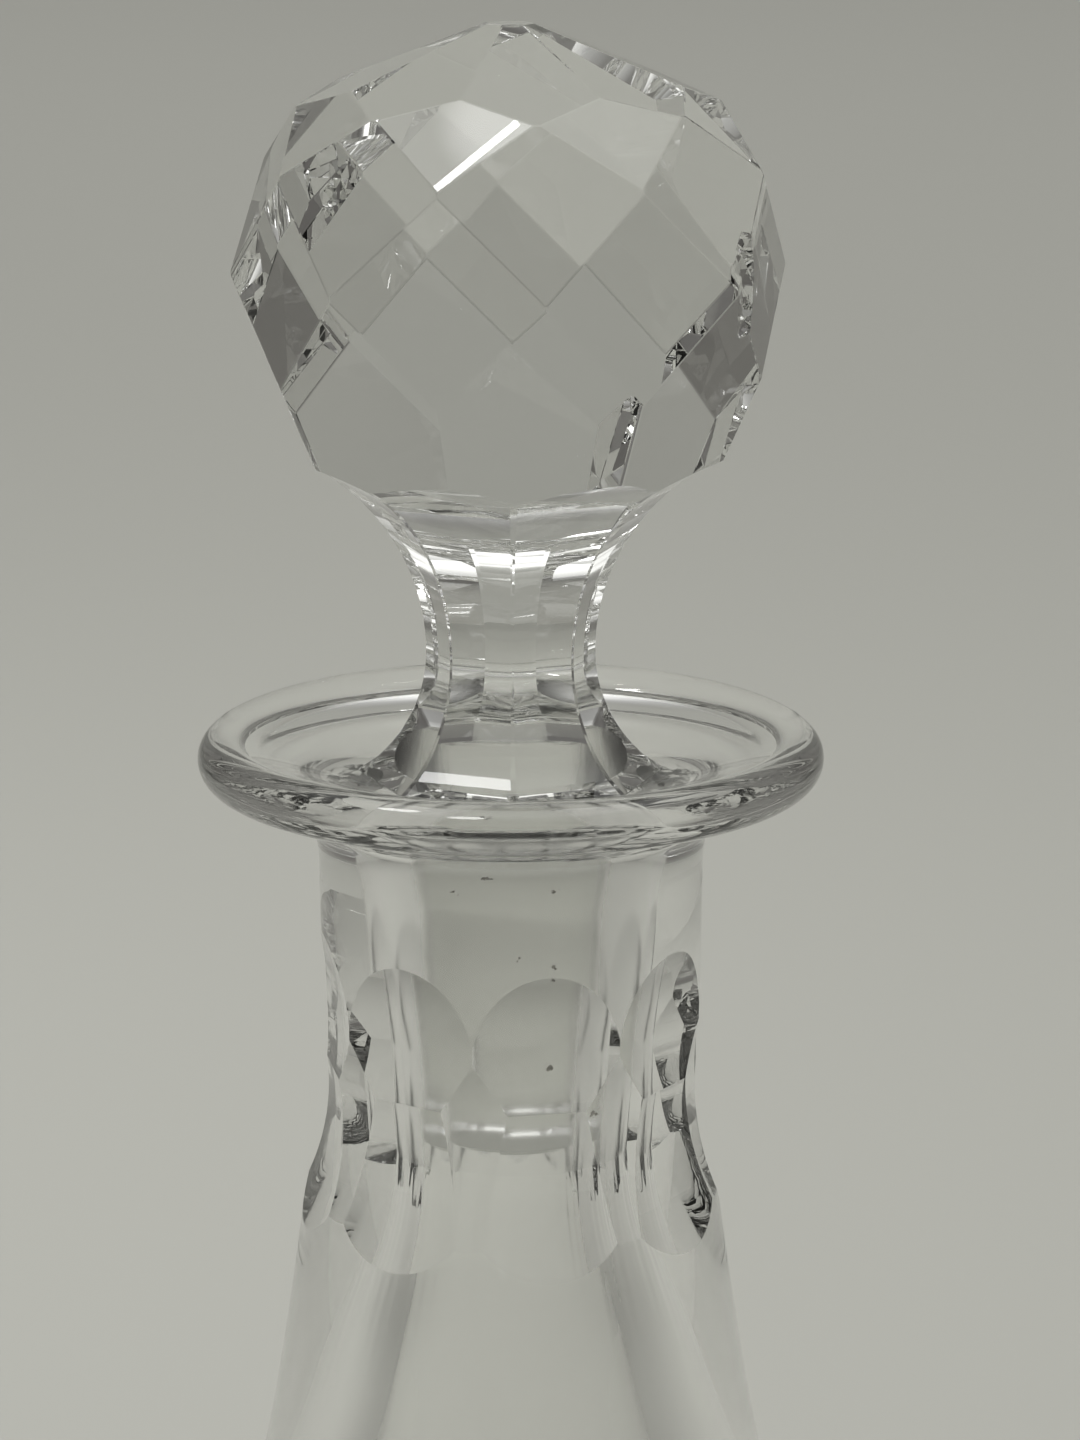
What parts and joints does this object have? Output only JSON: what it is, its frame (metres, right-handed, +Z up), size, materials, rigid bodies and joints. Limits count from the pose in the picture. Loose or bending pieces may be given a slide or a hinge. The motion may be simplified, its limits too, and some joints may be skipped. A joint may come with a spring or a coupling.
{
  "type": "cut crystal decanter",
  "caption": "Heavy cut crystal decanter with a wide flanged lip, a scale-cut neck, a pear-shaped body and a faceted ball stopper that lifts out.",
  "frame": {"origin": "middle of the base, on the surface that the decanter stands on", "axes": "+Z up along the axis of the bottle and stopper; one neck facet of the first and third rows faces -Y"},
  "size_m": [0.105, 0.105, 0.3027],
  "materials": {
    "bottle_crystal": "polished lead crystal, wheel cut, with a ground seat in the neck",
    "stopper_crystal": "polished lead crystal, flat faceted, with a ground satin plug"
  },
  "bodies": {
    "bottle": {"bottle": "bottle_crystal"},
    "stopper": {"stopper": "stopper_crystal"}
  },
  "joints": [
    {"name": "stopper_lift", "type": "slide", "parent": "bottle", "child": "stopper", "axis": [0, 0, 1], "range_m": [0, 0.06]}
  ]
}
